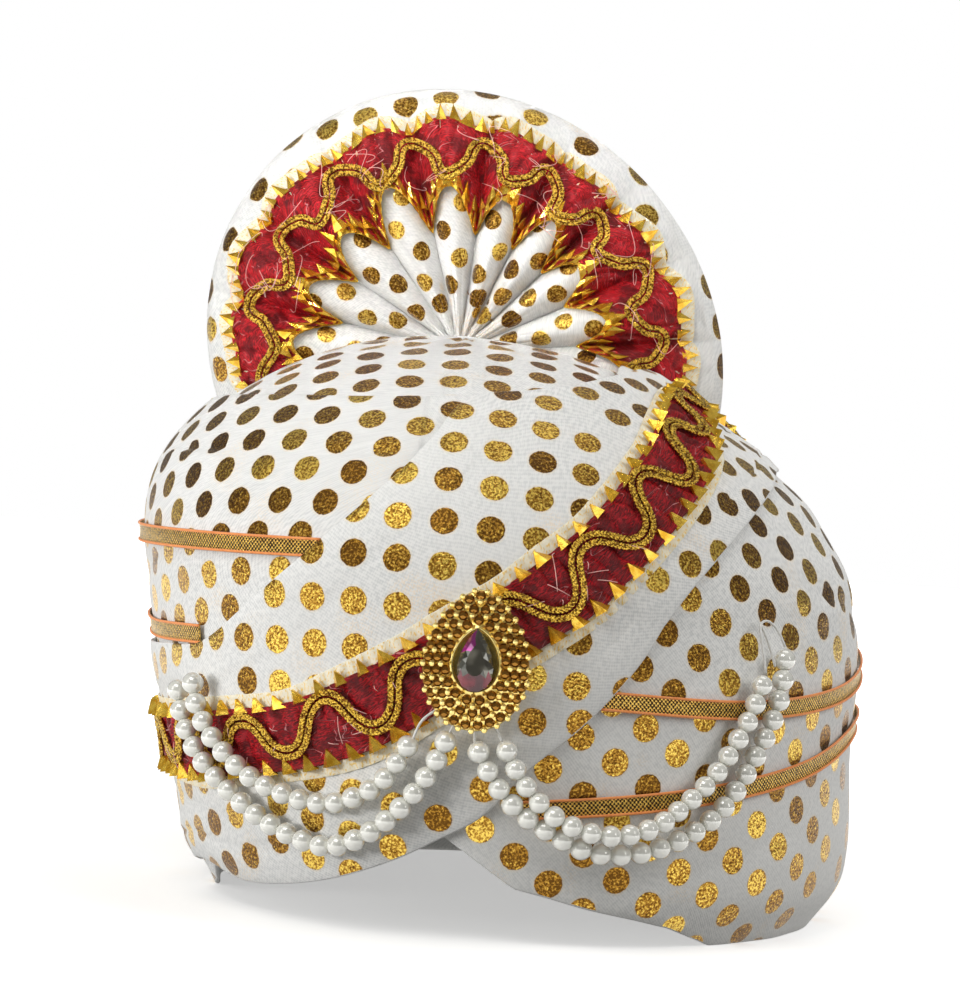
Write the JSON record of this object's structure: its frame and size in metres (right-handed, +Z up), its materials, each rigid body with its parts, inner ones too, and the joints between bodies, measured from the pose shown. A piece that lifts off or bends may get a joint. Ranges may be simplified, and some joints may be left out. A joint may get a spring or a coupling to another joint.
{
  "type": "ready-tied pagri turban",
  "caption": "White dotted wedding turban with a pleated fan, slanting red lace, a studded drop brooch and pearl swags.",
  "frame": {"origin": "on the floor plane under the middle of the whole turban, where its rim rests", "axes": "+Z up out of the crown, -Y out of the front over the forehead, +X to the viewer's right of a viewer facing the front"},
  "size_m": [0.2252, 0.245, 0.2485],
  "materials": {
    "side_wrap": "white cotton muslin with gold foil dots",
    "crown": "white cotton muslin with gold foil dots",
    "sash": "white cotton muslin with gold foil dots",
    "fan": "white cotton muslin with gold foil dots",
    "lace_band": "crinkled red lace with gold toothed edges",
    "fan_lace": "crinkled red lace with gold toothed edges",
    "lace_braid": "gold metallic braid",
    "fan_braid": "gold metallic braid",
    "brooch_setting": "gold plated, polished",
    "brooch_stone": "dark cut glass, polished",
    "ribbon_left_upper": "gold mesh ribbon with orange edges",
    "pearl_string_left_upper": "pearl lustre",
    "ribbon_left_lower": "gold mesh ribbon with orange edges",
    "pearl_string_left_lower": "pearl lustre",
    "ribbon_right_upper": "gold mesh ribbon with orange edges",
    "pearl_string_right_upper": "pearl lustre",
    "ribbon_right_lower": "gold mesh ribbon with orange edges",
    "pearl_string_right_lower": "pearl lustre"
  },
  "bodies": {
    "root": {"side_wrap": "side_wrap", "crown": "crown", "sash": "sash", "fan": "fan", "lace_band": "lace_band", "fan_lace": "fan_lace", "lace_braid": "lace_braid", "fan_braid": "fan_braid", "brooch_setting": "brooch_setting", "brooch_stone": "brooch_stone", "ribbon_left_upper": "ribbon_left_upper", "pearl_string_left_upper": "pearl_string_left_upper", "ribbon_left_lower": "ribbon_left_lower", "pearl_string_left_lower": "pearl_string_left_lower", "ribbon_right_upper": "ribbon_right_upper", "pearl_string_right_upper": "pearl_string_right_upper", "ribbon_right_lower": "ribbon_right_lower", "pearl_string_right_lower": "pearl_string_right_lower"}
  },
  "joints": []
}
